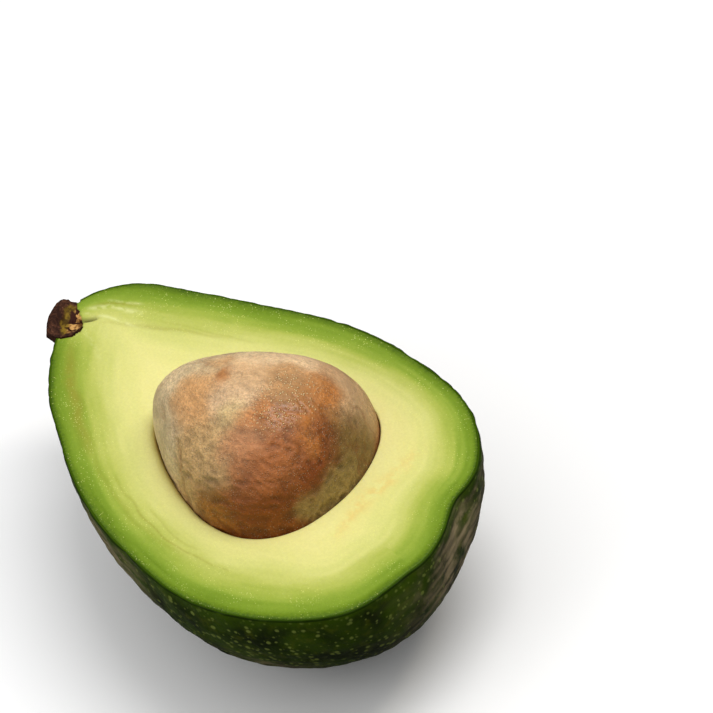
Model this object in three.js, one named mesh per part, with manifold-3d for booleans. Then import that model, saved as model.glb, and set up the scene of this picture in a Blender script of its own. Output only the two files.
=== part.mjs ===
// Half an avocado with its stone, cut lengthwise and lying on its back with the cut face level.
// Millimetres, +Z up. The long axis is X, with the stem towards -X and the left-hand side
// towards +Y. Every shape is worked out about the belly centre, on the cut plane z = 0, and the
// finished group then stands on z = 0.
import * as THREE from "three";
import { mergeVertices } from "three/addons/utils/BufferGeometryUtils.js";
import Module from "manifold-3d";

const wasm = await Module();
wasm.setup();

// Reach of the fruit's outside from the belly centre, by the angle from the blossom end. Side is
// the mean of the two cut edges, lean is half their difference, and keel is the underside.
const profileAngles = [0, 20, 40, 60, 90, 120, 145, 160, 170, 180];
const sideReach = [41.8, 41.3, 39.6, 37.1, 33.6, 35.6, 41.8, 50.3, 58, 62.3];
const sideLean = [0, -2.7, -1.4, -0.5, -0.1, -0.2, -0.6, -0.5, 1, 0];
const keelReach = [41.8, 42.2, 39.1, 36.6, 35.9, 38.1, 43.4, 51.4, 58.8, 62.3];
const flatRise = 0.7;

// Shallow dent in the left-hand side, next to the blossom end.
const dentAt = new THREE.Vector3(33.4, 15.6, 0);
const dentRadius = 5;
const dentDepth = 1.35;

// Low uneven swellings of the skin, which die out towards both ends of the fruit.
const swellHeight = 0.2;
const swellPitch = 8.5;

const skinThickness = 1;
const clearance = 0.3;

// The stone is an egg with its blunt end towards the blossom end, and half of it stands above the
// cut plane. It narrows more in width than in height, and seen from the side its corners are
// fuller than an ellipse's: squareness is the power that the shares are raised to, two for an
// ellipse.
const stoneCentre = new THREE.Vector3(-4.9, -1.1, 0);
const stoneTurn = THREE.MathUtils.degToRad(17);
const stoneHalfLength = 22;
const stoneHalfWidth = 17.65;
const stoneHalfHeight = 19.6;
const stoneWidthTaper = 0.46;
const stoneHeightTaper = 0.1;
const stoneSquareness = 2.3;

// The stem stub is a knob that stands askew, with its root sunk in the flesh. Its radius is given
// by the share of its length from the root.
const stemRoot = new THREE.Vector3(-57, -1.5, 0);
const stemTurn = THREE.MathUtils.degToRad(37);
const stemLength = 7.2;
const stemShares = [0, 0.2, 0.42, 0.66, 0.88, 1];
const stemRadii = [2.8, 4.3, 4.9, 5, 4.3, 3];
const stemRidges = 9;
const stemRidgeHeight = 0.35;

// Steps of each grid, lengthwise and round.
const skinSteps = [48, 30];
const fleshSteps = [40, 26];
const stoneSteps = [22, 32];
const stemSteps = [11, 36];

// Smooth curve through values at given places, level at both ends.
function profile(places, values) {
  const curve = new THREE.CubicInterpolant(places, values, 1);
  curve.settings = {
    endingStart: THREE.ZeroSlopeEnding,
    endingEnd: THREE.ZeroSlopeEnding,
  };
  return (place) => curve.evaluate(place)[0];
}

const sideAt = profile(profileAngles, sideReach);
const leanAt = profile(profileAngles, sideLean);
const keelAt = profile(profileAngles, keelReach);
const stemRadiusAt = profile(stemShares, stemRadii);

// Point of the fruit's outside. along is the angle from the blossom end, and around is the angle
// about the long axis: -90 at the right-hand cut edge, 0 at the keel, 90 at the left-hand one.
function outsidePoint(along, around) {
  const a = THREE.MathUtils.degToRad(along);
  const b = THREE.MathUtils.degToRad(around);
  const ray = new THREE.Vector3(
    Math.cos(a),
    Math.sin(a) * Math.sin(b),
    -Math.sin(a) * Math.cos(b),
  );
  const round = THREE.MathUtils.lerp(sideAt(along), keelAt(along), Math.cos(b) ** 2);
  const point = ray.clone().multiplyScalar(round + leanAt(along) * Math.sin(b));
  const dent = Math.exp(-point.distanceToSquared(dentAt) / dentRadius ** 2);
  return point.addScaledVector(ray, -dentDepth * dent);
}

// Outward normal, from the differences between neighbouring points. Each end has one normal, in
// the cut plane and square to the short line across it.
function outsideNormal(along, around) {
  const step = 0.5;
  const inside = THREE.MathUtils.clamp(along, 2 * step, 180 - 2 * step);
  if (along !== inside) {
    const across = outsidePoint(inside, 90).sub(outsidePoint(inside, -90));
    const outwards = along < 90 ? 1 : -1;
    return new THREE.Vector3(across.y, -across.x, 0).normalize().multiplyScalar(outwards);
  }
  const lengthwise = outsidePoint(along + step, around).sub(
    outsidePoint(along - step, around),
  );
  const crosswise = outsidePoint(along, around + step).sub(
    outsidePoint(along, around - step),
  );
  return lengthwise.cross(crosswise).normalize();
}

// Height of the swellings at a point: two crossed waves, each bent by a slower one.
function swelling(point, along) {
  const { x, y, z } = point.clone().multiplyScalar((2 * Math.PI) / swellPitch);
  const first = Math.sin(x + Math.sin(y / 2)) * Math.cos(y + Math.sin(z / 2));
  const second = Math.sin(z + x / 2) * Math.cos(y / 2);
  const fade = Math.sin(THREE.MathUtils.degToRad(along));
  return (swellHeight * fade * (first + second)) / 2;
}

const keelDepths = Array.from({ length: 181 }, (_, along) => -outsidePoint(along, 0).z);
const floorLevel = flatRise - Math.max(...keelDepths);

// Point of a layer at a depth under the outside. The flat spot underneath holds up each layer by
// its depth, and the two cut edges lie in the cut plane.
function layerPoint(along, around, depth, swells) {
  const point = outsidePoint(along, around);
  const rise = swells ? swelling(point, along) : 0;
  point.addScaledVector(outsideNormal(along, around), rise - depth);
  point.z = Math.max(point.z, floorLevel + depth);
  if (Math.abs(around) === 90 || along === 0 || along === 180) point.z = 0;
  return point;
}

// Grid of a layer's points, one row for each step from the blossom end to the stem end.
function layerGrid(depth, swells, [rows, columns]) {
  return Array.from({ length: rows + 1 }, (_, i) =>
    Array.from({ length: columns + 1 }, (__, j) =>
      layerPoint((180 * i) / rows, (180 * j) / columns - 90, depth, swells),
    ),
  );
}

// Triangles between neighbouring points of a grid, which face along rows x columns.
function gridTriangles(grid) {
  return grid.slice(1).flatMap((below, i) =>
    below.slice(1).flatMap((d, j) => {
      const [a, b, c] = [grid[i][j], grid[i][j + 1], below[j]];
      return [
        [a, c, b],
        [b, c, d],
      ];
    }),
  );
}

const turnedOver = (triangles) => triangles.map(([a, b, c]) => [a, c, b]);

// Solid from triangles that close on themselves. Those with two corners in one place are left out.
function solidOf(triangles) {
  const loose = new THREE.BufferGeometry().setFromPoints(triangles.flat());
  const merged = mergeVertices(loose, 1e-3);
  const corners = merged.index.array;
  const kept = [];
  for (let i = 0; i < corners.length; i += 3) {
    const [a, b, c] = corners.subarray(i, i + 3);
    if (a !== b && b !== c && c !== a) kept.push(a, b, c);
  }
  const vertProperties = merged.attributes.position.array;
  const triVerts = new Uint32Array(kept);
  return new wasm.Manifold(new wasm.Mesh({ numProp: 3, vertProperties, triVerts }));
}

// Named mesh of a solid.
function meshOf(name, solid, color, roughness) {
  const { vertProperties, triVerts } = solid.getMesh();
  const geometry = new THREE.BufferGeometry()
    .setAttribute("position", new THREE.BufferAttribute(vertProperties, 3))
    .setIndex(new THREE.BufferAttribute(triVerts, 1));
  geometry.computeVertexNormals();
  const material = new THREE.MeshStandardMaterial({ color, roughness, metalness: 0 });
  const mesh = new THREE.Mesh(geometry, material);
  mesh.name = name;
  return mesh;
}

// Closed solid of revolution along X, from a radius for each share of its length and each turn.
function turnedSolid([rows, columns], pointAt, place) {
  const grid = Array.from({ length: rows + 1 }, (_, i) =>
    Array.from({ length: columns + 1 }, (__, j) => {
      const turn = (2 * Math.PI * (j % columns)) / columns;
      return pointAt(i / rows, turn).applyMatrix4(place);
    }),
  );
  return solidOf(gridTriangles(grid));
}

// The stone, grown by a margin all round.
function stoneSolid(margin) {
  const place = new THREE.Matrix4().makeRotationZ(stoneTurn).setPosition(stoneCentre);
  const pointAt = (share, turn) => {
    const polar = Math.PI * share;
    const x = Math.cos(polar);
    const y = Math.sin(polar) * Math.cos(turn);
    const z = Math.sin(polar) * Math.sin(turn);
    const upright = Math.abs(x) ** stoneSquareness + Math.abs(z) ** stoneSquareness;
    const size = 1 / Math.hypot(upright ** (1 / stoneSquareness), y);
    const halfWidth = stoneHalfWidth * (1 + stoneWidthTaper * x * size);
    const halfHeight = stoneHalfHeight * (1 + stoneHeightTaper * x * size);
    return new THREE.Vector3(
      (stoneHalfLength + margin) * x * size,
      (halfWidth + margin) * y * size,
      (halfHeight + margin) * z * size,
    );
  };
  return turnedSolid(stoneSteps, pointAt, place);
}

// The stem stub, grown by a margin all round: ridged towards its rounded outer end, and cut along
// its length in the cut plane.
function stemSolid(margin) {
  const place = new THREE.Matrix4().makeRotationZ(stemTurn).setPosition(stemRoot);
  const last = stemSteps[0];
  const pointAt = (share, turn) => {
    const step = Math.round(share * last);
    const length = THREE.MathUtils.clamp((step - 1) / (last - 2), 0, 1);
    const ridge = stemRidgeHeight * length * Math.cos(stemRidges * turn);
    const onAxis = step === 0 || step === last;
    const radius = onAxis ? 0 : stemRadiusAt(length) + ridge + margin;
    const x = margin - (stemLength + 2 * margin) * length;
    return new THREE.Vector3(x, radius * Math.cos(turn), radius * Math.sin(turn));
  };
  const whole = turnedSolid(stemSteps, pointAt, place);
  const size = 4 * stemLength;
  const upperHalf = new THREE.BoxGeometry(size, size, size).translate(
    stemRoot.x,
    stemRoot.y,
    size / 2,
  );
  upperHalf.deleteAttribute("normal").deleteAttribute("uv");
  const { attributes, index } = mergeVertices(upperHalf);
  const block = new wasm.Manifold(
    new wasm.Mesh({
      numProp: 3,
      vertProperties: attributes.position.array,
      triVerts: new Uint32Array(index.array),
    }),
  );
  return margin > 0 ? whole : whole.subtract(block);
}

// Skin: a half shell. Its cut edge is a flat band, and it has a notch where the stub goes through.
function skinSolid() {
  const outside = layerGrid(0, true, skinSteps);
  const inside = layerGrid(skinThickness, false, skinSteps);
  const edge = (grid, column) => grid.map((row) => row.at(column));
  const shell = solidOf([
    ...gridTriangles(outside),
    ...turnedOver(gridTriangles(inside)),
    ...gridTriangles([edge(outside, 0), edge(inside, 0)]),
    ...gridTriangles([edge(inside, -1), edge(outside, -1)]),
  ]);
  return shell.subtract(stemSolid(clearance));
}

// Flesh: solid to the cut face, with a hollow that fits the stone and a seat for the stub's root.
function fleshSolid() {
  const outside = layerGrid(skinThickness + clearance, false, fleshSteps);
  const cutFace = outside.map((row) => [row.at(-1), row[0]]);
  const half = solidOf([...gridTriangles(outside), ...gridTriangles(cutFace)]);
  return half.subtract(stoneSolid(clearance)).subtract(stemSolid(clearance));
}

const avocado = new THREE.Group();
avocado.add(
  meshOf("skin", skinSolid(), 0x1f3a12, 0.35),
  meshOf("flesh", fleshSolid(), 0xd9da7c, 0.5),
  meshOf("stone", stoneSolid(0), 0x8b5c3c, 0.5),
  meshOf("stem_stub", stemSolid(0), 0x4a2c1c, 0.85),
);

// The fruit stands on its flat spot, with the middle of its outline over the origin.
const box = new THREE.Box3().setFromObject(avocado);
const middle = box.getCenter(new THREE.Vector3());
avocado.position.set(-middle.x, -middle.y, -box.min.z);

export default avocado;
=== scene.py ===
import bpy
import numpy as np
from mathutils import Matrix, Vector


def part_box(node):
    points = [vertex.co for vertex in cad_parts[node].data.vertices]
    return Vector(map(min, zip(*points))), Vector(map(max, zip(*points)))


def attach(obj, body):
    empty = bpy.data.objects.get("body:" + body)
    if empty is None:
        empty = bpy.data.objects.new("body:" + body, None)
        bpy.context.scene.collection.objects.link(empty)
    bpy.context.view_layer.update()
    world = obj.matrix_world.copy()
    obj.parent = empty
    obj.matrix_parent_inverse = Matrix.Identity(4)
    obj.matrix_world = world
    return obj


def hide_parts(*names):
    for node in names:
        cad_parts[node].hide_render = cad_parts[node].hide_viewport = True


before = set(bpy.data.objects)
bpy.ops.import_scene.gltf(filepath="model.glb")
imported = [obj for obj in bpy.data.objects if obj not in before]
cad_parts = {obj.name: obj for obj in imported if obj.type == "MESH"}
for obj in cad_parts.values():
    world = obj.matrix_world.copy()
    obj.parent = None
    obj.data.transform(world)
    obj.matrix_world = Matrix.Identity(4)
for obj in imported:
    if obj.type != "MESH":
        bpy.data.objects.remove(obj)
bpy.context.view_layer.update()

# The setting. The half lies level on a plain pale table top in bright surroundings, under a large
# soft lamp, a fill lamp and a small warm one. It is seen from above, from its blossom end and its
# right-hand side, with the stem to the upper left. Lengths are millimetres, times mm in Blender.
mm = 0.001
belly = np.array([11.258, 0.137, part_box("flesh")[1][2] / mm])
view_right = np.array([0.5958, 0.77838, -0.19785])
view_up = np.array([-0.4636, 0.53448, 0.70669])
view_back = np.cross(view_right, view_up)
view_distance = 4000
view_width = 128.87
middle_right = 14.3
middle_up = 18.8
sensor_width = 36
farthest_seen = 10000


def length(vectors):
    """Length of each vector."""
    return np.linalg.norm(vectors, axis=-1)


def unit(vectors):
    """Vectors of the same directions and of length one."""
    return vectors / length(vectors)[..., None]


def facing(right, up, place):
    """Placement matrix from the directions of an object's own X and Y and its place."""
    turned = np.column_stack([right, up, np.cross(right, up), place * mm])
    return Matrix(np.vstack([turned, [0, 0, 0, 1]]).tolist())


def added(name, data, placement=None):
    """Object with this data, in the scene."""
    made = bpy.data.objects.new(name, data)
    if placement is not None:
        made.matrix_world = placement
    bpy.context.scene.collection.objects.link(made)
    return made


camera_data = bpy.data.cameras.new("camera")
camera_data.sensor_width = sensor_width
camera_data.lens = sensor_width * view_distance / view_width
camera_data.clip_end = farthest_seen * mm
picture_middle = belly + middle_right * view_right + middle_up * view_up
camera_place = picture_middle + view_distance * view_back
camera = added("camera", camera_data, facing(view_right, view_up, camera_place))
bpy.context.scene.camera = camera


def lamp(name, aim, distance, width, height, power, tint=(1, 1, 1)):
    """Rectangular soft lamp, turned to the fruit. Its aim is its direction from the fruit, in
    shares of the picture's right, up and towards the eye. Its tint is the colour of its light."""
    data = bpy.data.lights.new(name, "AREA")
    data.shape = "RECTANGLE"
    data.size = width * mm
    data.size_y = height * mm
    data.energy = power
    data.color = tint
    back = unit(np.array(aim) @ np.array([view_right, view_up, view_back]))
    right = unit(np.cross(view_up, back))
    return added(name, data, facing(right, np.cross(back, right), belly + distance * back))


warm = (1, 0.9, 0.74)
lamp("key_lamp", (0.08, 0.7, 0.67), distance=700, width=420, height=260, power=2.1)
lamp("fill_lamp", (-0.8, -0.05, 0.6), distance=800, width=500, height=500, power=1.3)
lamp("glint_lamp", (0.44, 0.72, 0.63), distance=700, width=110, height=110, power=0.45, tint=warm)
sky_low = 0.12
sky_high = 0.95
sky_rises_from = 0.1
sky_rises_to = 0.95


def node(tree, kind, inputs=None, **settings):
    """Shader node with its settings, and each input set to a value or linked to a socket."""
    made = tree.nodes.new(kind)
    for name, setting in settings.items():
        setattr(made, name, setting)
    for name, source in (inputs or {}).items():
        if isinstance(source, bpy.types.NodeSocket):
            tree.links.new(source, made.inputs[name])
        else:
            made.inputs[name].default_value = source
    return made


def paint(red, green, blue):
    """Linear colour of a paint mixed on a screen, where each part goes from 0 to 255."""
    shares = np.array([red, green, blue]) / 255
    linear = np.where(shares <= 0.04045, shares / 12.92, ((shares + 0.055) / 1.055) ** 2.4)
    return (*linear.tolist(), 1)


def finish(name, fixed):
    """Material with its node tree and its surface shader, which has these fixed values."""
    made = bpy.data.materials.new(name)
    made.use_nodes = True
    surface = made.node_tree.nodes["Principled BSDF"]
    for socket, value in fixed.items():
        surface.inputs[socket].default_value = value
    return made, made.node_tree, surface


bpy.context.scene.view_settings.view_transform = "Standard"
world = bpy.data.worlds.new("surroundings")
bpy.context.scene.world = world
world.use_nodes = True
sky = world.node_tree
up = node(sky, "ShaderNodeSeparateXYZ", {0: node(sky, "ShaderNodeTexCoord").outputs["Generated"]})
dome = {"Value": up.outputs[2], "From Min": sky_rises_from, "From Max": sky_rises_to}
dome |= {"To Min": sky_low, "To Max": sky_high}
dome = node(sky, "ShaderNodeMapRange", dome, interpolation_type="SMOOTHSTEP").outputs[0]
seen = node(sky, "ShaderNodeLightPath").outputs["Is Camera Ray"]
brightness = node(sky, "ShaderNodeMath", {0: seen, 1: dome}, operation="MAXIMUM").outputs[0]
sky.links.new(brightness, sky.nodes["Background"].inputs["Strength"])
sky.nodes["Background"].inputs["Color"].default_value = (1, 1, 1, 1)

floor_size = 6000
floor_white = paint(250, 250, 250)
floor_grey = paint(120, 120, 120)
floor_fixed = {"Base Color": floor_white, "Roughness": 0.7}
floor_finish, floor_tree, floor_surface = finish("table_top", floor_fixed)
dull_floor = node(floor_tree, "ShaderNodeBsdfDiffuse", {"Color": floor_grey}).outputs[0]
seen = node(floor_tree, "ShaderNodeLightPath").outputs["Is Camera Ray"]
shown = {0: seen, 1: dull_floor, 2: floor_surface.outputs[0]}
shown = node(floor_tree, "ShaderNodeMixShader", shown)
floor_tree.links.new(shown.outputs[0], floor_tree.nodes["Material Output"].inputs["Surface"])
floor_mesh = bpy.data.meshes.new("floor")
half_floor = floor_size * mm / 2
corners = [(-half_floor, -half_floor, 0), (half_floor, -half_floor, 0)]
corners += [(half_floor, half_floor, 0), (-half_floor, half_floor, 0)]
floor_mesh.from_pydata(corners, [], [(0, 1, 2, 3)])
floor_mesh.materials.append(floor_finish)
added("floor", floor_mesh)

# The skin. A thin, tough, dark green peel with a pebbled gloss, strewn with pale breathing dots.
# The knife leaves it as a half shell, whose cut edge is a thin dark line round the flesh. It grows
# fast to the flesh, and the stem stub breaks its edge at the narrow end.
profile_angles = np.array([0, 20, 40, 60, 90, 120, 145, 160, 170, 180])
side_reach = np.array([41.8, 41.3, 39.6, 37.1, 33.6, 35.6, 41.8, 50.3, 58, 62.3])
side_lean = np.array([0, -2.7, -1.4, -0.5, -0.1, -0.2, -0.6, -0.5, 1, 0])
keel_reach = np.array([41.8, 42.2, 39.1, 36.6, 35.9, 38.1, 43.4, 51.4, 58.8, 62.3])
dent_at = np.array([33.4, 15.6, 0])
dent_radius = 5
dent_depth = 1.35
swell_height = 0.2
swell_pitch = 8.5
skin_thickness = 0.7
stem_root = np.array([-57, -1.5, 0])
stem_turn = np.radians(37)
stem_length = 7.2
stem_shares = np.array([0, 0.2, 0.42, 0.66, 0.88, 1])
stem_radii = np.array([2.8, 4.3, 4.9, 5, 4.3, 3])


def smooth_curve(places, values, at):
    """Smooth curve through values at given places, level at both ends. Between two places it is
    the cubic whose slopes there are those of the chords between the places on either side."""
    left = np.clip(np.searchsorted(places, at, side="right"), 1, len(places) - 1) - 1
    right = left + 1
    start, stop = places[left], places[right]
    before = np.where(left > 0, places[left - 1], 2 * start - stop)
    after_index = np.minimum(right + 1, len(places) - 1)
    after = np.where(right < len(places) - 1, places[after_index], 2 * stop - start)
    value_before = np.where(left > 0, values[left - 1], values[right])
    value_after = np.where(right < len(places) - 1, values[after_index], values[left])
    span = stop - start
    share = (at - start) / span
    slope_in = span * (values[right] - value_before) / (stop - before)
    slope_out = span * (value_after - values[left]) / (after - start)
    rise = values[right] - values[left]
    bend = slope_in + slope_out - 2 * rise
    return values[left] + share * (slope_in + share * (rise - slope_in - bend * (1 - share)))


def fruit_reach(direction):
    """Distance from the belly centre to the fruit's outside in a direction. It goes from the cut
    edge's reach to the keel's by the squared cosine of the turn about the long axis, leans to one
    side by the sine of that turn, and loses the dent, which dies out with the square of the
    distance from its middle."""
    along = np.degrees(np.arccos(np.clip(direction[..., 0], -1, 1)))
    turn = np.arctan2(direction[..., 1], -direction[..., 2])
    side = smooth_curve(profile_angles, side_reach, along)
    keel = smooth_curve(profile_angles, keel_reach, along)
    lean = smooth_curve(profile_angles, side_lean, along)
    reach = side + (keel - side) * np.cos(turn) ** 2 + lean * np.sin(turn)
    from_dent = length(direction * reach[..., None] - dent_at)
    return reach - dent_depth * np.exp(-((from_dent / dent_radius) ** 2))


def fruit_level(points):
    """Height of points over the fruit's outside, measured along the ray from the belly centre."""
    distance = length(points)
    return distance - fruit_reach(points / distance[..., None])


def outward(level, points):
    """Outward normals: the slope of a level function, which is zero all over the surface, found by
    a short step either way along each axis."""
    step = 0.05
    slopes = [level(points + step * axis) - level(points - step * axis) for axis in np.eye(3)]
    return unit(np.stack(slopes, axis=-1))


def chances(cells, seed):
    """Even random share for each whole-numbered cell, from its three numbers multiplied by large
    odd numbers, added up and stirred."""
    mixed = (cells.astype(np.int64) * np.array([73856093, 19349663, 83492791])).sum(-1)
    mixed = (mixed + seed * 2654435761) & 0xFFFFFFFF
    for _ in range(2):
        mixed = ((mixed ^ (mixed >> 15)) * 2246822519) & 0xFFFFFFFF
    return (mixed ^ (mixed >> 13)) / 0xFFFFFFFF


def waves(points, pitch, seed, layers=1):
    """Smooth random waves from -1 to 1: random values at the corners of cubes of this pitch,
    blended across each cube. Each further layer has half the pitch and half the height."""
    place = points / pitch
    cell = np.floor(place)
    share = place - cell
    share = share * share * (3 - 2 * share)
    total = np.zeros(points.shape[:-1])
    for corner in np.ndindex(2, 2, 2):
        weight = np.prod(np.where(corner, share, 1 - share), axis=-1)
        total += weight * chances(cell + corner, seed)
    total = 2 * total - 1
    if layers > 1:
        total = (total + waves(points, pitch / 2, seed + 1, layers - 1) / 2) / 1.5
    return total


def grain_gap(points, pitch, seed):
    """Distance to the nearest of the places strewn at random, one to a cube of this pitch."""
    cell = np.floor(points / pitch)
    nearest = np.full(points.shape[:-1], np.inf)
    for step in np.ndindex(3, 3, 3):
        near = cell + step - 1
        place = [near[..., axis] + chances(near, seed + axis) for axis in range(3)]
        gap = length(points - pitch * np.stack(place, axis=-1))
        nearest = np.minimum(nearest, gap)
    return nearest


def stem_place(points):
    """Share of the stub's length from its root, and the distance to the side of its axis."""
    x, y = points[..., 0] - stem_root[0], points[..., 1] - stem_root[1]
    share = -(x * np.cos(stem_turn) + y * np.sin(stem_turn)) / stem_length
    return share, y * np.cos(stem_turn) - x * np.sin(stem_turn)


def stem_outline(share):
    """Radius of the stub by the share of its length from the root."""
    return smooth_curve(stem_shares, stem_radii, share)


def seated(points, margin):
    """Points with a seat pressed in for the stub: whatever stands inside the stub, grown by a
    margin, goes straight down to its rounded underside."""
    share, aside = stem_place(points)
    ends = np.clip(share, 0, 1)
    radius = stem_outline(ends) + margin
    past_end = np.abs(share - ends) * stem_length
    under = np.sqrt(np.clip(radius**2 - aside**2, 0, None)) * (past_end <= margin)
    moved = points.copy()
    moved[..., 2] = np.minimum(points[..., 2], -under)
    return moved


turn_table = np.linspace(0, 2 * np.pi, 4001)
level_rays = np.stack([np.cos(turn_table), np.sin(turn_table), 0 * turn_table], axis=-1)
rim_table = level_rays * fruit_reach(level_rays)[..., None]
rim_steps = length(np.diff(rim_table, axis=0))
rim_shares = np.concatenate([[0], np.cumsum(rim_steps)]) / rim_steps.sum()


def even_turn(turn):
    """Turn about the belly centre that is as far along the cut edge as this turn is round a
    circle, so that even turns give points evenly spaced along the edge."""
    return np.interp((turn / (2 * np.pi)) % 1, rim_shares, turn_table)


def disc_grid(steps):
    """Share of the way out, and turn, of each point of a square grid bent into a disc. The share
    is the larger of the two square coordinates, and the turn is spread evenly along each side."""
    line = np.linspace(-1, 1, steps + 1)
    u, v = np.meshgrid(line, line, indexing="ij")
    wide = np.abs(u) >= np.abs(v)
    share = np.where(wide, u, v)
    safe = np.where(share == 0, 1, share)
    turn = np.where(wide, v / safe, 2 - u / safe) * np.pi / 4
    return np.abs(share), turn + np.where(share < 0, np.pi, 0)


def ring_turns(steps):
    """Turns of the points round the edge of such a grid, in order."""
    return (np.arange(4 * steps) / (4 * steps) - 1 / 8) * 2 * np.pi


def ray(polar, turn):
    """Direction at a polar angle from straight down and a turn about the upright axis."""
    polar, turn = np.broadcast_arrays(polar, turn)
    parts = [np.sin(polar) * np.cos(turn), np.sin(polar) * np.sin(turn), -np.cos(polar)]
    return np.stack(parts, axis=-1)


def closed_piece(name, start, rings, end, inside_out=False):
    """Closed mesh: a start, which is one point or a square grid of points, rings of points that
    run on from it, and one point that closes the last ring."""
    columns = rings.shape[1]
    points = np.concatenate([start.reshape(-1, 3), rings.reshape(-1, 3), end.reshape(1, 3)])
    last = len(points) - 1
    in_rings = rings.shape[0] * columns
    ring_ids = (last - in_rings + np.arange(in_rings)).reshape(-1, columns)
    quads, fans = [], [(ring_ids[-1], np.full(columns, last), np.roll(ring_ids[-1], -1))]
    if start.ndim == 3:
        ids = np.arange(start.shape[0] * start.shape[1]).reshape(start.shape[:2])
        quads.append((ids[:-1, :-1], ids[1:, :-1], ids[1:, 1:], ids[:-1, 1:]))
        edge = [ids[-1, :-1], ids[:0:-1, -1], ids[0, :0:-1], ids[:-1, 0]]
        ring_ids = np.vstack([np.concatenate(edge), ring_ids])
    else:
        fans.append((np.zeros(columns, int), ring_ids[0], np.roll(ring_ids[0], -1)))
    beside = np.roll(ring_ids, -1, axis=1)
    quads.append((ring_ids[:-1], ring_ids[1:], beside[1:], beside[:-1]))
    order = -1 if inside_out else 1
    fours = np.concatenate([np.stack(quad, axis=-1).reshape(-1, 4) for quad in quads])[:, ::order]
    threes = np.concatenate([np.stack(fan, axis=-1) for fan in fans])[:, ::order]
    mesh = bpy.data.meshes.new(name)
    mesh.from_pydata(((points + belly) * mm).tolist(), [], fours.tolist() + threes.tolist())
    mesh.shade_smooth()
    return added(name, mesh), points


def carry(piece, name, values):
    """Gives each point of a piece a value, or a colour, under this name."""
    kind, key = ("FLOAT_COLOR", "color") if values.ndim == 2 else ("FLOAT", "value")
    made = piece.data.attributes.new(name, kind, "POINT")
    made.data.foreach_set(key, values.astype(np.float32).ravel())


def swelling(points):
    """Low uneven swellings of the peel: two crossed waves, each bent by a slower one, which die
    out towards both ends of the fruit."""
    x, y, z = np.moveaxis(points * (2 * np.pi / swell_pitch), -1, 0)
    first = np.sin(x + np.sin(y / 2)) * np.cos(y + np.sin(z / 2))
    second = np.sin(z + x / 2) * np.cos(y / 2)
    fade = length(points[..., 1:]) / length(points)
    return swell_height * fade * (first + second) / 2


pebble_pitch = 2.6
pebble_depth = 0.26
pebble_bend = 0.5
peel_grain = 0.04
peel_sink = 0.1


def peel_relief(points):
    """Height of the peel's outside: the swellings, less the creases between pebbles, which deepen
    with the square of the distance from a pebble's middle, and a fine grain."""
    bent = points + pebble_bend * waves(points, 2.2, 5)[..., None]
    crease = np.clip(grain_gap(bent, pebble_pitch, seed=3) / pebble_pitch, 0, 1) ** 2
    fine = peel_grain * waves(points, 1.1, 8)
    return swelling(points) - pebble_depth * crease + fine - peel_sink


skin_steps = 280
edge_round = 0.22
edge_sink = 0.05
edge_waviness = 0.09
edge_height = 0.3
seat_margin = 0.1
skin_rows = 12
skin_columns = even_turn(ring_turns(skin_steps))
rim = ray(np.pi / 2, skin_columns)
rim = rim * fruit_reach(rim)[..., None]
rim_outward = unit(outward(fruit_level, rim) * [1, 1, 0])


def on_floor(points, depth=0):
    """Points held up by the flat spot that the fruit lies on."""
    held = points.copy()
    held[..., 2] = np.maximum(held[..., 2], depth - belly[2])
    return held


share, turn = disc_grid(skin_steps)
turn = even_turn(turn)
lowest_edge = np.pi / 2 - edge_round / fruit_reach(ray(np.pi / 2, turn))
outside = ray(share * lowest_edge, turn)
outside = outside * fruit_reach(outside)[..., None]
outside = outside + outward(fruit_level, outside) * peel_relief(outside)[..., None]
edge_relief = peel_relief(rim)[..., None]
edge_wave = edge_waviness * waves(rim, 2.4, 21, 2)[..., None] * [0, 0, 1]
edge_profile = [(0.05, -0.08, 1), (0.2, 0, 0.7), (0.5, 0, 0.2), (skin_thickness, -0.1, 0)]
edge_rings = [
    rim + rim_outward * (relief * edge_relief - depth) + [0, 0, height - edge_sink] + edge_wave
    for depth, height, relief in edge_profile
]
inner_polar = np.linspace(np.pi / 2, 0, skin_rows + 1)[1:-1, None]
inner_rings = ray(inner_polar, skin_columns[None])
inner_rings = inner_rings * (fruit_reach(inner_rings) - skin_thickness)[..., None]
skin_rings = np.concatenate([np.stack(edge_rings), on_floor(inner_rings, skin_thickness)])
skin_end = np.array([0, 0, skin_thickness - belly[2]])


def peel_depth(points):
    """Share of the peel's thickness at the cut edge: none outside, all of it next to the flesh."""
    in_cut = points * [1, 1, 0] + [1e-6, 0, 0]
    depth = np.clip(-fruit_level(in_cut) / skin_thickness, 0, 1)
    return depth * (points[..., 2] > -edge_height)


skin_start = seated(on_floor(outside), seat_margin)
skin_rings = seated(skin_rings, seat_margin)
skin, points = closed_piece("skin_peel", skin_start, skin_rings, skin_end, inside_out=True)
worn_and_sheen_patches = [
    ((-14, -33, -7), 11),
    ((38, 14, -12), 13),
    ((29, 27, -17), 10),
    ((20, -20, -24), 8),
    ((-40, 18, -8), 9),
    ((-10, 30, -20), 12),
]


def along_rim(points):
    """Distance along the cut edge of the place on it that lies the same way from the belly."""
    turn = np.arctan2(points[:, 1], points[:, 0]) % (2 * np.pi)
    return np.interp(turn, turn_table, rim_shares * rim_steps.sum())


def worn_and_sheen(points):
    """Strength of the worn, corky places of the peel, which also carry a painted sheen, with fine
    streaks that run round the fruit.
    A place dies out with the square of the distance from its middle."""
    along = along_rim(points)
    lines = np.stack([0.16 * along, 1.1 * points[:, 2], 0 * along], axis=-1)
    streak = np.clip(0.5 + 1.5 * waves(lines, 0.9, 87, 3), 0, 1)
    far = [length(points - middle) / reach for middle, reach in worn_and_sheen_patches]
    places = sum(np.exp(-(gap**2)) for gap in far)
    return np.clip(1.3 * places, 0, 1) * (0.2 + 0.8 * streak)


carry(skin, "worn_and_sheen", worn_and_sheen(points))
carry(skin, "peel_depth", peel_depth(points))
carry(skin, "below_cut", -points[:, 2])

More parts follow.
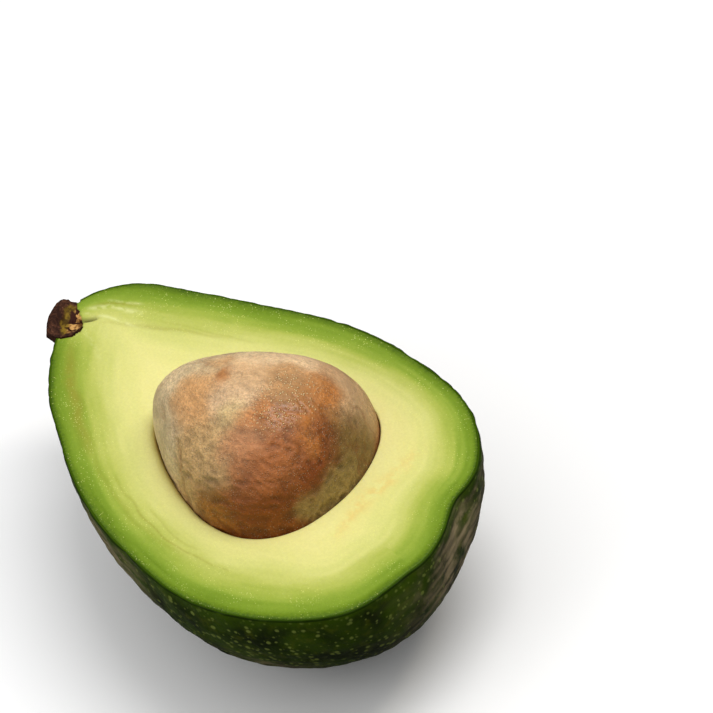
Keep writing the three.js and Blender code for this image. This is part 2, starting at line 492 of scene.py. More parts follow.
skin_finish, tree, surface = finish("avocado_peel", {"Specular IOR Level": 0.05})


def attribute(tree, name, output="Fac"):
    """The value that each point of a piece carries under this name."""
    return node(tree, "ShaderNodeAttribute", attribute_name=name).outputs[output]


def ranged(source, low, high, to_low=0.0, to_high=1.0):
    """Value of a socket carried smoothly from one range to another."""
    inputs = {"Value": source, "From Min": low, "From Max": high}
    inputs |= {"To Min": to_low, "To Max": to_high}
    made = node(source.id_data, "ShaderNodeMapRange", inputs, interpolation_type="SMOOTHSTEP")
    return made.outputs["Result"]


def mixed(share, first, second):
    """Mix of two colours, with this share of the second."""
    inputs = {0: share, 6: first, 7: second}
    return node(share.id_data, "ShaderNodeMix", inputs, data_type="RGBA").outputs[2]


def maths(operation, first, second):
    """Sum or other operation on a socket and a socket or number, in either order."""
    tree = (first if isinstance(first, bpy.types.NodeSocket) else second).id_data
    return node(tree, "ShaderNodeMath", {0: first, 1: second}, operation=operation).outputs[0]


def times(product, *factors):
    """Product of values."""
    for factor in factors:
        product = maths("MULTIPLY", product, factor)
    return product


def laid(colour, shade, *shares):
    """Paint laid over a colour, by the product of the shares."""
    return mixed(times(*shares), colour, shade)


def cloud(tree, size, detail=2.0, rough=0.5):
    """Random cloud with patches of about this size, on the object's own coordinates."""
    place = node(tree, "ShaderNodeTexCoord").outputs["Object"]
    inputs = {"Vector": place, "Scale": 1 / (size * mm), "Detail": detail, "Roughness": rough}
    return node(tree, "ShaderNodeTexNoise", inputs).outputs["Fac"]


def grain_group():
    """Wet grain, used by every finish: close-set little beads and a fine cloud. It puts out their
    height together, and the height of the beads alone."""
    group = bpy.data.node_groups.new("wet_grain", "ShaderNodeTree")
    for name in ("Bead Scale", "Bead Share"):
        group.interface.new_socket(name=name, in_out="INPUT", socket_type="NodeSocketFloat")
    for name in ("Height", "Beads"):
        group.interface.new_socket(name=name, in_out="OUTPUT", socket_type="NodeSocketFloat")
    inside = group.nodes.new("NodeGroupInput")
    outside = group.nodes.new("NodeGroupOutput")
    place = node(group, "ShaderNodeTexCoord").outputs["Object"]
    scale = inside.outputs["Bead Scale"]
    cells = node(group, "ShaderNodeTexVoronoi", {"Vector": place, "Scale": scale})
    bead = ranged(cells.outputs["Distance"], 0.45, 0.05)
    pick = node(group, "ShaderNodeSeparateColor", {"Color": cells.outputs["Color"]}).outputs[0]
    picked = maths("LESS_THAN", pick, inside.outputs["Bead Share"])
    inputs = {"Vector": place, "Scale": times(scale, 0.7), "Detail": 4.0}
    fine = node(group, "ShaderNodeTexNoise", inputs).outputs["Fac"]
    beads = times(bead, picked)
    height = maths("ADD", times(beads, 0.6), fine)
    group.links.new(height, outside.inputs["Height"])
    group.links.new(beads, outside.inputs["Beads"])
    return group


wet_grain = grain_group()


def grained(tree, bead_size, bead_share):
    """The wet grain with beads of this size, on this share of the cells."""
    made = node(tree, "ShaderNodeGroup", node_tree=wet_grain)
    made.inputs["Bead Scale"].default_value = 1 / (bead_size * mm)
    made.inputs["Bead Share"].default_value = bead_share
    return made.outputs["Height"], made.outputs["Beads"]


def roughened(tree, surface, height, depth, strength=1.0):
    """Fine relief of this depth, from a height."""
    inputs = {"Height": height, "Distance": depth * mm, "Strength": strength}
    bump = node(tree, "ShaderNodeBump", inputs)
    tree.links.new(bump.outputs[0], surface.inputs["Normal"])


def strewn_dots(tree, pitch, smallest, largest):
    """Mask of round dots, strewn one to a cube of this pitch, with small ones more common."""
    place = node(tree, "ShaderNodeTexCoord").outputs["Object"]
    cells = node(tree, "ShaderNodeTexVoronoi", {"Vector": place, "Scale": 1 / (pitch * mm)})
    pick = node(tree, "ShaderNodeSeparateColor", {"Color": cells.outputs["Color"]}).outputs[0]
    radius = ranged(times(pick, pick), 0, 1, smallest / pitch, largest / pitch)
    gap = maths("SUBTRACT", cells.outputs["Distance"], radius)
    return ranged(gap, 0.12 / pitch, -0.2 / pitch)


peel_dark = paint(22, 34, 0)
peel_green = paint(52, 74, 0)
peel_olive = paint(84, 92, 8)
peel_cork_and_sheen = paint(176, 156, 120)
peel_dot = paint(140, 154, 72)
peel_edge = paint(58, 82, 2)
peel_rim = paint(30, 48, 0)
peel_inner = paint(62, 90, 0)
colour = mixed(ranged(cloud(tree, 9, 5), 0.35, 0.65), peel_dark, peel_green)
colour = laid(colour, peel_olive, ranged(cloud(tree, 2.2, 3), 0.5, 0.75, 0, 0.5))
dots = strewn_dots(tree, pitch=1.25, smallest=0.18, largest=0.55)
worn_and_sheen_share = attribute(tree, "worn_and_sheen")
colour = laid(colour, peel_dot, dots, ranged(worn_and_sheen_share, 0.1, 0.6, 0.62, 0.12))
cork_and_sheen_cloud = ranged(cloud(tree, 5, 5, 0.6), 0.3, 0.58)
# Corky wear and painted sheen: grey-brown patches and pale streaks on the peel's sides.
colour = laid(colour, peel_cork_and_sheen, worn_and_sheen_share, cork_and_sheen_cloud, 0.85)
edge_drift = ranged(cloud(tree, 2, 3), 0.3, 0.7, -0.8, 0.8)
below_edge = maths("ADD", attribute(tree, "below_cut"), edge_drift)
colour = laid(colour, peel_edge, ranged(below_edge, 3.6, -0.2, 0, 0.75))
depth = attribute(tree, "peel_depth")
colour = laid(colour, peel_rim, ranged(depth, 0.01, 0.15))
colour = laid(colour, peel_inner, ranged(depth, 0.3, 1.0))
tree.links.new(colour, surface.inputs["Base Color"])
height, _ = grained(tree, bead_size=0.45, bead_share=0.6)
tree.links.new(ranged(height, 0.3, 1, 0.4, 0.6), surface.inputs["Roughness"])
height = maths("ADD", height, times(dots, 0.8))
roughened(tree, surface, height, depth=0.06, strength=0.7)
skin.data.materials.append(skin_finish)
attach(skin, "root")
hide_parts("skin")

# The stone. One large seed in a thin papery coat, tan to red-brown, patchy and speckled, wrinkled
# towards its blunt end and wet in one place on top. Painted highlights make the drops on the wet
# place and some of the pale specks glint, and painted shade lies along the wrinkles. It sits in the
# hollow that it grew in, and the knife went round it.
stone_centre = np.array([-4.9, -1.1, 0])
stone_turn = np.radians(17)
stone_half_length = 22
stone_half_width = 17.65
stone_half_height = 19.6
stone_width_taper = 0.46
stone_height_taper = 0.1
stone_squareness = 2.3
stone_steps = 230
stone_rows = 44
stone_patch_end = np.radians(100)
stone_sink = 0.15
wrinkle_height = 0.32
crease_depth = 0.1


def stone_axes(points):
    """Points in the stone's own axes: its length towards the blunt end, its width and height."""
    x, y, z = np.moveaxis(points - stone_centre, -1, 0)
    along = x * np.cos(stone_turn) + y * np.sin(stone_turn)
    return np.stack([along, y * np.cos(stone_turn) - x * np.sin(stone_turn), z], axis=-1)


def stone_level(points):
    """Zero on the stone: the squared share of its half width, plus the squared reach of the shares
    of its half length and half height, less one. That reach is the sum of both, each raised to the
    squareness, with the root taken again. Width and height grow towards the blunt end."""
    x, y, z = np.moveaxis(stone_axes(points), -1, 0)
    along = x / stone_half_length
    width = stone_half_width * (1 + stone_width_taper * along)
    height = stone_half_height * (1 + stone_height_taper * along)
    upright = np.abs(along) ** stone_squareness + np.abs(z / height) ** stone_squareness
    return upright ** (2 / stone_squareness) + (y / width) ** 2 - 1


def stone_reach(direction):
    """Distance from the stone's centre to its outside, found by halving the range that holds it."""
    low = np.zeros(direction.shape[:-1])
    high = low + 25
    for _ in range(22):
        half = (low + high) / 2
        within = stone_level(stone_centre + direction * half[..., None]) < 0
        low, high = np.where(within, half, low), np.where(within, high, half)
    return (low + high) / 2


def coat_creases(points):
    """Share of a crease in the seed coat: thin lines where slow waves, drawn out along the stone,
    pass through zero, broken up by a broader wave."""
    drawn_out = stone_axes(points) * [0.5, 1, 1]
    line = np.clip(1 - np.abs(waves(drawn_out, 4.2, 37, 4)) / 0.1, 0, 1)
    return line * np.clip(0.3 + 1.5 * waves(points, 7, 39), 0, 1)


def shifts(points, pitch, seeds, layers=1):
    """Random shift along each axis, from waves of this pitch."""
    return np.stack([waves(points, pitch, seed, layers) for seed in seeds], axis=-1)


def coat_wrinkles(points):
    """Height of the coat's wrinkles, from 0 to 1: rounded ridges where bent waves, drawn out along
    the stone, pass through zero."""
    bent = points + 0.8 * shifts(points, 2.4, (47, 48, 49))
    return (1 - np.abs(waves(stone_axes(bent) * [0.42, 1, 1], 1.5, 43, 3))) ** 2


def wrinkled(points):
    """How strongly the coat is wrinkled: little on the narrow end's top, fully on the blunt end."""
    along, aside, _ = np.moveaxis(stone_axes(points), -1, 0)
    return 0.2 + 0.8 * np.clip((0.6 * along - aside + 3 * waves(points, 6, 45)) / 13, 0, 1)


wet_middle = np.array([11, 0, 18])
wet_reach = 6.5


def wetness(points):
    """One on the wet spot on top of the stone, dying out at its border."""
    far = length((stone_axes(points) - wet_middle) * [1.25, 0.8, 1]) / wet_reach
    return np.exp(-((far + 0.2 * waves(points, 2.5, 57, 2)) ** 4))


def stone_relief(points):
    """Height of the seed coat: broad dents, wrinkles, which are lower where it is wet, creases and
    a fine grain."""
    broad = 0.16 * waves(points, 9, 31) + 0.08 * waves(points, 4, 33)
    strength = wrinkle_height * wrinkled(points) * (1 - 0.7 * wetness(points))
    wrinkle = strength * (coat_wrinkles(points) - 0.55)
    crease = crease_depth * coat_creases(points)
    return broad + wrinkle - crease + 0.03 * waves(points, 0.7, 41) - stone_sink


share, turn = disc_grid(stone_steps)
top = ray(np.pi - share * stone_patch_end, turn)
polars = np.linspace(np.pi - stone_patch_end, 0, stone_rows + 1)[1:-1, None]
below = ray(polars, ring_turns(stone_steps)[None])
stone_parts = []
for directions in (top, below, np.array([0, 0, -1.0])):
    points = stone_centre + directions * stone_reach(directions)[..., None]
    rise = stone_relief(points)[..., None] * outward(stone_level, points)
    stone_parts.append(points + rise)

pale_tan = (224, 190, 146)
tan = (208, 168, 122)
grey_tan = (216, 190, 146)
yellow_grey = (196, 172, 118)
grey_rose = (202, 168, 128)
orange_tan = (200, 150, 96)
red_tan = (176, 122, 80)
orange_brown = (180, 116, 60)
orange = (180, 112, 48)
red_brown = (126, 62, 18)
brown = (152, 90, 42)
dark_brown = (124, 64, 12)
umber = (146, 88, 24)
olive_brown = (128, 98, 50)
olive = (146, 120, 68)
grey_olive = (190, 154, 102)
coat_patches = [
    ((-8, 7, 15), 7, grey_tan),
    ((3, 10, 16), 6, pale_tan),
    ((14, 14, 10), 5, tan),
    ((-12, -9, 9), 5, grey_tan),
    ((-6, -7, 17), 4.5, orange_tan),
    ((-2, -1.5, 19.4), 1.6, orange),
    ((-5, 3, 18), 2.5, orange_tan),
    ((3, 1, 20), 4, tan),
    ((2, -4, 19), 4, grey_rose),
    ((4, -8, 18), 2.6, yellow_grey),
    ((10, 4, 18), 4, orange_tan),
    ((10, -5, 17), 3.5, orange_brown),
    ((14, 6, 15), 4.5, orange),
    ((16, -2, 14), 3.5, orange),
    ((18.5, 0, 11), 3, red_brown),
    ((19.5, -6, 8), 3, red_brown),
    ((17, 10, 10), 4, tan),
    ((20, 4, 8), 4.5, olive_brown),
    ((22, -3, 3), 4, olive),
    ((8, -11, 15), 4, red_tan),
    ((15, -9, 13), 4.5, brown),
    ((12, -14, 11), 4.5, brown),
    ((0, -14, 10), 6, grey_olive),
    ((4, -18, 4), 4, umber),
    ((15, -16, 4), 6, dark_brown),
    ((20, -10, 2.5), 2.5, olive),
    ((-18, 0, 4), 7, grey_tan),
    ((6, 18, 4), 8, brown),
]


patch_shift = 2.6
patch_falloff = 1.4
least_weight = 0.001


def coat_tint(points):
    """Colour of the seed coat: an average of the patches, each weighed by how near it is for its
    size. The places are shifted by random waves, so that the patches run into each other raggedly.
    Long clouds lighten and darken it, painted shade makes the wrinkles lighter on their ridges and
    darker between them, and creases are darker and redder."""
    place = stone_axes(points) + patch_shift * shifts(points, 3.6, (51, 52, 53), 4)
    total = least_weight * np.array(paint(*brown))
    weights = least_weight
    for middle, reach, shade in coat_patches:
        far = length(place - np.array(middle)) / reach
        near = np.exp(-patch_falloff * far**2)[..., None]
        total = total + near * paint(*shade)
        weights = weights + near
    long_clouds = waves(stone_axes(points) * [0.5, 1, 1], 3.4, 61, 4)[..., None]
    small_clouds = waves(stone_axes(points) * [0.6, 1, 1], 0.9, 65, 3)[..., None]
    # Painted shade: lighter on the wrinkles' ridges, darker between them.
    ridge_painted_shade = (wrinkled(points) * (coat_wrinkles(points) - 0.5))[..., None]
    tint = total / weights * (0.93 + 0.16 * long_clouds + 0.22 * small_clouds + 0.5 * ridge_painted_shade)
    crease = 0.35 * coat_creases(points)[..., None]
    tint = tint * (1 - crease) + np.array(paint(*red_brown)) * crease
    tint[:, 3] = 1
    return tint


stone, points = closed_piece("stone_seed", *stone_parts)
carry(stone, "coat_tint", coat_tint(points))
carry(stone, "wet", wetness(points))

stone_fixed = {
    "Specular IOR Level": 0.32,
    "Subsurface Weight": 0.08,
    "Subsurface Radius": (1.0, 0.5, 0.25),
    "Subsurface Scale": 0.8 * mm,
}
stone_finish, tree, surface = finish("seed_coat", stone_fixed)
colour = attribute(tree, "coat_tint", "Color")
wet = attribute(tree, "wet")
speck_and_glint_cream = paint(240, 222, 190)
painted_drop_glint = paint(255, 226, 170)
height, beads = grained(tree, bead_size=0.4, bead_share=0.8)
_, drops = grained(tree, bead_size=0.6, bead_share=0.97)
grainy = ranged(cloud(tree, 9, 3), 0.38, 0.56, 0.4, 1.0)
grain = maths("SUBTRACT", ranged(cloud(tree, 0.45, 3, 0.75), 0.36, 0.64), 0.5)
value = maths("ADD", times(grain, grainy, 0.42), 1.0)
value = maths("SUBTRACT", value, times(wet, 0.2))
colour = node(tree, "ShaderNodeHueSaturation", {"Color": colour, "Value": value}).outputs[0]
# Pale specks on the beads, partly painted glints of the wet grain.
colour = laid(colour, speck_and_glint_cream, ranged(beads, 0.45, 0.9), grainy, 0.3)
# Painted highlights: gold glints on the drops of the wet spot.
colour = laid(colour, painted_drop_glint, ranged(drops, 0.2, 0.8), wet, 0.7)
tree.links.new(colour, surface.inputs["Base Color"])
tree.links.new(ranged(wet, 0, 1, 0.55, 0.25), surface.inputs["Roughness"])
dry = times(height, maths("SUBTRACT", 1.0, wet))
height = maths("ADD", dry, times(drops, wet, 1.6))
roughened(tree, surface, height, depth=0.16, strength=0.9)
stone.data.materials.append(stone_finish)
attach(stone, "root")
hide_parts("stone")

# The flesh. Firm and buttery, green under the peel and pale yellow round the stone, cut level by
# one pull of a knife. Darker veins run lengthwise in it and gather at the stem. It fills the peel,
# with a hollow for the stone and a seat for the root of the stub. Painted shade darkens it beside
# the stone, down the seam round the stone and in the knife's slit by the stub.
stone_gap = 0.06
peel_gap = 0.02
floor_gap = 0.05
flesh_steps = 220
hollow_rows = 12
roll_rows = 7
face_rows = 84
wall_rows = 10
roll_size = 0.75
slack_side = np.radians(-115)


def under_peel(directions):
    """Points just inside the peel, in these directions from the belly centre."""
    return directions * (fruit_reach(directions) - skin_thickness - peel_gap)[..., None]


flesh_columns = even_turn(ring_turns(flesh_steps))
flesh_rim = under_peel(ray(np.pi / 2, flesh_columns))
from_stone = (flesh_rim - stone_centre) * [1, 1, 0]
stone_columns = np.arctan2(from_stone[:, 1], from_stone[:, 0])
stone_edge = ray(np.pi / 2, stone_columns)
stone_edge = stone_centre + stone_edge * stone_reach(stone_edge)[..., None]
edge_outward = outward(stone_level, stone_edge)
slack = (1 + np.cos(stone_columns - slack_side)) / 2
roll = roll_size * (0.6 + 1.3 * slack**2) * (1 + 0.35 * waves(stone_edge, 7, 61, 2))
lift = np.linspace(0, np.pi / 2, roll_rows)[:, None, None]
roll = roll[None, :, None]
roll_rings = stone_edge + edge_outward * (stone_gap + roll * (1 - np.cos(lift)))
roll_rings = roll_rings + (roll * (np.sin(lift) - 1)) * [0, 0, 1]
hollow_polar = np.linspace(0, np.pi / 2 - 0.07, hollow_rows)[1:, None]
hollow = ray(hollow_polar, stone_columns[None])
hollow = stone_centre + hollow * (stone_reach(hollow) + stone_gap)[..., None]
shares = np.linspace(0, 1, face_rows + 1)[1:-1, None, None]
face = roll_rings[-1] * (1 - shares) + flesh_rim * shares


def face_relief(points):
    """Height of the cut face: slow waves that the knife leaves, its fine parallel marks, and the
    soft grain of the flesh."""
    slow = 0.14 * waves(points, 13, 71) + 0.07 * waves(points, 5, 72)
    across = points[..., 0] * 0.5 + points[..., 1] * 0.87 + 0.4 * waves(points, 12, 73)
    marks = 0.012 * np.sin(across * 2 * np.pi / 1.3) * np.clip(waves(points, 8, 74), 0, 1)
    return slow + marks + 0.03 * waves(points, 1.1, 75, 2) - 0.1


fade = np.clip(6 * shares, 0, 1) * np.clip(12 * (1 - shares), 0, 1)
face = face + face_relief(face)[..., None] * fade * [0, 0, 1]
wall_polar = np.linspace(np.pi / 2, 0, wall_rows + 1)[1:-1, None]
wall = on_floor(under_peel(ray(wall_polar, flesh_columns[None])), skin_thickness + floor_gap)
rim_round = np.stack([flesh_rim + [0, 0, -0.06], flesh_rim + [0, 0, -0.3]])
flesh_rings = np.concatenate([hollow, roll_rings, face, rim_round, wall])


def torn_root(points):
    """Share of the stub's length that the torn flesh covers: more of it to the side of its axis."""
    _, aside = stem_place(points)
    covered = 0.03 + 0.085 * np.clip(aside + 1, 0, None) + 0.05 * np.clip(-aside - 3, 0, None)
    return covered + 0.09 * waves(points, 1.3, 83, 2)


face_height = 0.5
on_face = flesh_rings[..., 2] > -face_height
ragged = 0.25 + 0.25 * waves(flesh_rings, 0.8, 81)
share, _ = stem_place(flesh_rings)
ragged = np.where((share < torn_root(flesh_rings)) & on_face, -1, ragged)
flesh_rings = seated(flesh_rings, ragged)
hollow_floor = stone_centre - [0, 0, stone_half_height + stone_gap]
keel_point = np.array([0, 0, skin_thickness + floor_gap - belly[2]])
band_turns = np.array([-180, -150, -120, -80, -40, 0, 40, 80, 120, 150, 180])
band_widths = np.array([1.15, 1.05, 0.98, 1.06, 1.24, 1.1, 0.9, 0.72, 0.82, 0.98, 1.15])


def from_peel(points):
    """Distance in the cut plane to the nearest point of the peel's inside, divided by how wide the
    green band is on that side."""
    line = flesh_rim[::3, :2].astype(np.float32)
    place = points[:, :2].astype(np.float32)
    gaps = (place**2).sum(1)[:, None] + (line**2).sum(1)[None] - 2 * place @ line.T
    depth = np.sqrt(np.clip(gaps.min(axis=1), 0, None))
    turn = np.degrees(np.arctan2(points[:, 1], points[:, 0]))
    return depth / smooth_curve(band_turns, band_widths, turn)


def near_stem(points):
    """One at the root of the stub, dying out over a few millimetres."""
    return np.exp(-((length(points - stem_root) / 6) ** 2))


def to_stone(points):
    """Distance in the cut plane to the stone, less below the plane."""
    flat = (points - stone_centre) * [1, 1, 0]
    distance = length(flat) + 1e-9
    gap = distance - stone_reach(flat / distance[..., None])
    return np.clip(gap, 0, None) + np.clip(points[:, 2], -2, 0)


def slack_share(points):
    """How far a point lies to the side of the stone where the knife pressed the flesh down, which
    weighs the painted shade beside the stone.
    """
    flat = points - stone_centre
    return ((1 + np.cos(np.arctan2(flat[:, 1], flat[:, 0]) - slack_side)) / 2) ** 2


veins = [
    (1.2, 1, [(-54.5, -7), (-50.5, -9.8), (-46.7, -12.5)]
     + [(-41.8, -15.6), (-35.8, -18.8), (-28, -22)]),
    (0.5, 0.3, [(-36, -18), (-28, -21.6), (-20, -24.4), (-10.7, -26.6), (-2.4, -27.2), (6, -26)]),
    (0.25, 0.7, [(-20, -22.5), (-10, -25), (-1, -25.8), (8, -25), (16, -23)]),
    (0.22, 0.4, [(-8, -23.4), (0, -24.2), (7, -23.6)]),
    (0.45, 0.5, [(-54.1, -0.1), (-50.1, 2.7), (-46.4, 5.4)]
     + [(-42.1, 8.2), (-37.8, 10.7), (-32.4, 13.6)]),
    (0.25, 0.3, [(-46, 7.5), (-40, 10.6), (-34, 13.2), (-27, 15.6)]),
    (0.4, 0.7, [(-58.6, 1.6), (-57, 3.6), (-55, 5.4), (-52.6, 7)]),
]
fibres = [
    (0.45, 0.9, [(-59.2, 0.6), (-57.2, 2.4), (-54.6, 4.3), (-50, 6.2)]),
    (0.35, 0.8, [(-58.6, -0.4), (-55.5, 1.2), (-52, 2.4), (-47.5, 4)]),
    (0.3, 0.6, [(-57.5, 4.2), (-55, 6), (-52, 7.6)]),
    (0.4, 0.4, [(-55.5, -3.4), (-52, -4.2), (-47, -5.6)]),
]
amber_lines = [
    (1.6, 0.55, [(23.5, -4.5), (21.6, 0.9), (20, 6), (19.4, 12), (17.3, 19.7)]),
    (0.8, 0.6, [(23.4, -2), (21, 2.4), (19.6, 5.6)]),
]
stem_slit = [(0.45, 1, [(-58.2, -3.0), (-57.4, -1.9), (-56.8, -0.9), (-56.2, 0.4)])]


def strands(points, lines):
    """Strength of fine strands: each is a smooth line through a few places in the cut plane, and
    fades with the square of the distance from it."""
    worth = np.zeros(len(points))
    bent = points + 0.5 * shifts(points, 4, (91, 92, 93))
    for width, strength, places in lines:
        places = np.array(places, float)
        knots = np.arange(len(places), dtype=float)
        at = np.linspace(0, len(places) - 1, 24 * len(places))
        line = np.stack([smooth_curve(knots, places[:, axis], at) for axis in (0, 1)], axis=-1)
        low, high = line.min(axis=0) - 3, line.max(axis=0) + 3
        close = ((bent[:, :2] > low) & (bent[:, :2] < high)).all(axis=1)
        gaps = length(bent[close, None, :2] - line[None])
        nearest = gaps.min(axis=1)
        ends = np.sin(np.pi * np.clip(gaps.argmin(axis=1) / len(at), 0.02, 0.98)) ** 0.5
        worth[close] = np.maximum(worth[close], strength * ends * np.exp(-((nearest / width) ** 2)))
    return worth


slit_depth = 0.9
face_points = flesh_rings.reshape(-1, 3)
slit = slit_depth * strands(face_points, stem_slit) * (face_points[:, 2] > -face_height)
flesh_rings = (face_points - slit[:, None] * [0, 0, 1]).reshape(flesh_rings.shape)
flesh, points = closed_piece("flesh_half", hollow_floor, flesh_rings, keel_point)
depth, along = from_peel(points), along_rim(points)
along_peel = np.stack([depth, along * 0.07, 0 * along], axis=-1)
carry(flesh, "to_peel", depth + 4 * near_stem(points))
carry(flesh, "streaks", waves(along_peel, 1.0, 85, 3) * np.clip(depth / 2, 0, 1))
carry(flesh, "to_stone", to_stone(points))
carry(flesh, "slack", slack_share(points))
strand_sets = {"veins": veins, "fibres": fibres, "amber": amber_lines, "slit": stem_slit}
for name, lines in strand_sets.items():
    carry(flesh, name, strands(points, lines))

flesh_fixed = {
    "Specular IOR Level": 0.2,
    "Coat Roughness": 0.12,
    "Subsurface Weight": 0.25,
    "Subsurface Radius": (1.0, 0.8, 0.3),
    "Subsurface Scale": 1.0 * mm,
}
flesh_finish, tree, surface = finish("avocado_flesh", flesh_fixed)
flesh_shades = [
    (0.0, (56, 84, 0)),
    (0.5, (86, 114, 4)),
    (1.0, (102, 130, 12)),
    (1.6, (112, 140, 26)),
    (3.0, (126, 152, 38)),
    (4.5, (146, 166, 56)),
    (6.0, (168, 179, 74)),
    (8.0, (190, 194, 100)),
    (10.0, (205, 206, 120)),
    (13.0, (219, 215, 134)),
    (17.0, (227, 220, 142)),
    (22.0, (231, 225, 151)),
]
deepest = 24
flesh_at_stone = paint(234, 224, 150)
flesh_painted_shade = paint(170, 158, 84)
hollow_painted_shade = paint(176, 150, 70)
vein_olive = paint(142, 138, 40)
stain_amber = paint(224, 178, 88)
fibre_pale = paint(226, 228, 160)
slit_painted_shade = paint(70, 66, 10)
glint_yellow = paint(242, 246, 144)
depth = attribute(tree, "to_peel")
slow = times(maths("SUBTRACT", cloud(tree, 11, 3), 0.5), 3.0, ranged(depth, 0, 5))
fine = times(maths("SUBTRACT", cloud(tree, 0.9, 4, 0.65), 0.5), 1.2)
for drift in (slow, fine, times(attribute(tree, "streaks"), 1.1)):
    depth = maths("ADD", depth, drift)
ramp = node(tree, "ShaderNodeValToRGB", {0: maths("DIVIDE", depth, float(deepest))})
ramp.color_ramp.interpolation = "B_SPLINE"
for index, (place, shade) in enumerate(flesh_shades):
    stops = ramp.color_ramp.elements
    stop = stops[index] if index < 2 else stops.new(place / deepest)
    stop.position = place / deepest
    stop.color = paint(*shade)
colour = ramp.outputs["Color"]
gap = attribute(tree, "to_stone")
colour = laid(colour, flesh_at_stone, ranged(gap, 3.0, 0.3), 0.35)
# Painted shade in the flesh next to the stone, on the side where the knife pressed it down.
painted_shade_share = times(ranged(gap, 3.2, 0.2), attribute(tree, "slack"))
colour = laid(colour, flesh_painted_shade, painted_shade_share, 0.55)
# Painted shade down the seam between the flesh and the stone.
colour = laid(colour, hollow_painted_shade, ranged(gap, 0.5, -1.0))
broken = ranged(cloud(tree, 2.5, 3), 0.15, 0.5)
colour = laid(colour, vein_olive, attribute(tree, "veins"), broken, 0.75)
blotched = ranged(cloud(tree, 2.5, 4, 0.6), 0.35, 0.6)
colour = laid(colour, stain_amber, attribute(tree, "amber"), blotched, 0.75)
frayed = ranged(cloud(tree, 1.2, 3), 0.3, 0.6)
colour = laid(colour, fibre_pale, attribute(tree, "fibres"), frayed, 0.7)
# Painted shade in the knife's slit next to the stub.
colour = laid(colour, slit_painted_shade, attribute(tree, "slit"))
height, beads = grained(tree, bead_size=0.4, bead_share=0.6)
clusters = ranged(cloud(tree, 7, 5, 0.65), 0.46, 0.6, 0.08, 1.0)
glint = times(ranged(beads, 0.35, 0.85), clusters)
colour = laid(colour, glint_yellow, glint, 0.58)
fine = ranged(cloud(tree, 0.5, 3, 0.7), 0.35, 0.65, 0.965, 1.02)
colour = node(tree, "ShaderNodeHueSaturation", {"Color": colour, "Value": fine}).outputs[0]
tree.links.new(colour, surface.inputs["Base Color"])
tree.links.new(ranged(glint, 0, 1, 0.55, 0.12), surface.inputs["Roughness"])
tree.links.new(times(glint, 0.7), surface.inputs["Coat Weight"])
roughened(tree, surface, height, depth=0.07, strength=0.6)
flesh.data.materials.append(flesh_finish)
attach(flesh, "root")
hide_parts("flesh")

# The stem stub. The dry end of the stalk, which stayed on when the fruit was picked: a knob of dark
# wrinkled bark, sunk in the narrow end. The knife went through it, so its upper side shows the
# olive-brown wood, which is cracked and corky next to the flesh.
stem_rows = 84
under_columns = 110
face_columns = 90
bark_ridges = 9
cap_share = 0.66
wood_height = 0.6
stem_sink = 0.15
torn_reach = 0.35
torn_bits = [
    ((-61.8, -9.2, -0.5), (-0.6, -0.9, 0.1), 1.3),
    ((-62.9, -7.6, -0.3), (-1.0, -0.5, 0.2), 0.7),
    ((-59.6, -8.9, -0.6), (0.2, -1.0, 0.2), 0.6),
]


def from_stem_axes(back, aside, up):
    """Points from the stub's own axes: back along its length from the root, aside, and up."""
    x = stem_root[0] + back * np.cos(stem_turn) - aside * np.sin(stem_turn)
    y = stem_root[1] + back * np.sin(stem_turn) + aside * np.cos(stem_turn)
    return np.stack([x, y, up], axis=-1)


def on_bark(points):
    """One on the bark and its rounded outer cap, none on the cut wood of the inner part."""
    share, aside = stem_place(points)
    from_bark = stem_outline(np.clip(share, 0, 1)) - np.abs(aside)
    ragged_cap = cap_share + 0.1 * waves(points, 1.6, 111, 3) - 0.1 * (aside / 4) ** 2
    within = np.clip((ragged_cap - share) / 0.06, 0, 1)
    ragged_side = 0.55 + 0.45 * waves(points, 1.2, 113, 2)
    within = within * np.clip((from_bark - ragged_side) / 0.25, 0, 1)
    return 1 - within * (points[..., 2] > -wood_height)


def wood_cracks(points):
    """Share of a crack in the cut wood: bands where waves, drawn out across the stub, pass through
    zero, which run together near the root."""
    share, aside = stem_place(points)
    place = np.stack([share * stem_length, 0.7 * aside, 0 * share], axis=-1)
    line = np.clip(1.15 - np.abs(waves(place, 1.5, 115, 3)) / 0.22, 0, 1)
    return line * np.clip((0.56 - share) / 0.16, 0, 1)


stem_along = np.linspace(0, 1, stem_rows)[:, None]
under_turn = np.linspace(np.pi, 2 * np.pi, under_columns + 1)[None]
across = np.cos(np.linspace(0, np.pi, face_columns + 1))[None, 1:-1]
end_round = np.sqrt(np.clip(1 - (2 * stem_along - 1) ** 10, 0.02, 1))
stem_radius = stem_outline(stem_along) * end_round
ridge = 0.3 * stem_along * np.cos(bark_ridges * under_turn + 2 * stem_along)
under_side = stem_radius * np.cos(under_turn) * (1 + ridge / 5)
under_down = stem_radius * np.sin(under_turn) * (1 + ridge / 5)
bulge = 1.2 * np.clip((stem_along - cap_share + 0.08) / 0.2, 0, 1)
bulge = bulge * np.sqrt(np.clip(1 - across**2, 0, 1)) * np.sqrt(np.clip(1 - stem_along**6, 0, 1))
top_side = stem_radius * across
aside = np.concatenate([under_side, top_side], axis=1)
down = np.concatenate([under_down, bulge + 0 * top_side], axis=1)
stem_points = from_stem_axes(-stem_length * stem_along + 0 * aside, aside, down)
level_line = 0 * stem_along[:, 0]
centre_line = from_stem_axes(-stem_length * stem_along[:, 0], level_line, level_line - 1.5)
spoke = unit(stem_points - centre_line[:, None])
bark_share = on_bark(stem_points)
crack_share = wood_cracks(stem_points) * (1 - bark_share)
woody = 0.22 * waves(stem_points, 1.1, 101, 3)
woody = woody + 0.14 * bark_share * waves(stem_points, 0.55, 104, 2)
on_top = stem_points[..., 2] > -wood_height
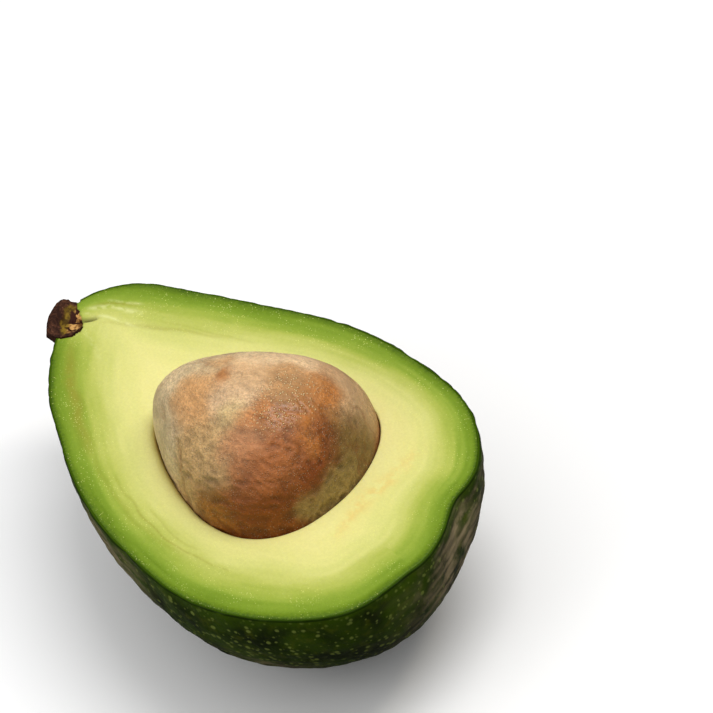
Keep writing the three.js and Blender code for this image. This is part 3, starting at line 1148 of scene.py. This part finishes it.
under_flesh = np.clip((torn_root(stem_points) + 0.12 - stem_along) / 0.12, 0, 1)
sunk = 0.3 * (1 - bark_share) * on_top + 0.5 * crack_share + 0.7 * under_flesh * on_top
stem_points = stem_points + spoke * (woody - stem_sink - sunk)[..., None]
for place, way, pull in torn_bits:
    near = np.exp(-((length(stem_points - place) / torn_reach) ** 2))
    stem_points = stem_points + pull * near[..., None] * way
stem_start = stem_points[0].mean(axis=0)
stem_end = stem_points[-1].mean(axis=0)
stub, points = closed_piece("stem_knob", stem_start, stem_points, stem_end, inside_out=True)


def with_ends(values):
    """Values of the rows of points, with one more for the point that closes each end."""
    return np.concatenate([values[0, :1], values.ravel(), values[-1, :1]])


share, _ = stem_place(stem_points)
carry(stub, "bark", with_ends(bark_share))
carry(stub, "cracks", with_ends(crack_share))
carry(stub, "from_root", with_ends(share + 0.06 * waves(stem_points, 1.4, 117, 3)))

stem_fixed = {"Roughness": 0.7, "Specular IOR Level": 0.15}
stem_finish, tree, surface = finish("stem_bark_and_wood", stem_fixed)
bark_dark = paint(42, 18, 8)
bark_brown = paint(90, 54, 34)
bark_painted_glint = paint(142, 104, 82)
wood_dark = paint(74, 54, 8)
wood_olive = paint(128, 102, 26)
cork_brown = paint(112, 70, 24)
cork_tan = paint(200, 152, 88)
root_dark = paint(60, 36, 10)
crack_dark = paint(50, 18, 5)
from_root = attribute(tree, "from_root")
bark = mixed(ranged(cloud(tree, 1.0, 4, 0.7), 0.42, 0.7), bark_dark, bark_brown)
# Painted highlights: small pale flecks on the bark.
bark = laid(bark, bark_painted_glint, ranged(cloud(tree, 0.5, 3, 0.6), 0.6, 0.72, 0, 0.3))
wood = mixed(ranged(cloud(tree, 1.2, 4), 0.4, 0.6), wood_dark, wood_olive)
cork = mixed(ranged(cloud(tree, 0.8, 4), 0.4, 0.6), cork_brown, cork_tan)
wood = laid(wood, cork, ranged(from_root, 0.44, 0.32))
wood = laid(wood, root_dark, ranged(from_root, 0.16, 0.04, 0, 0.8))
wood = laid(wood, crack_dark, ranged(attribute(tree, "cracks"), 0.15, 0.6))
colour = laid(wood, bark, attribute(tree, "bark"))
tree.links.new(colour, surface.inputs["Base Color"])
height, _ = grained(tree, bead_size=0.4, bead_share=0.7)
roughened(tree, surface, height, depth=0.12, strength=0.8)
stub.data.materials.append(stem_finish)
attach(stub, "root")
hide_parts("stem_stub")
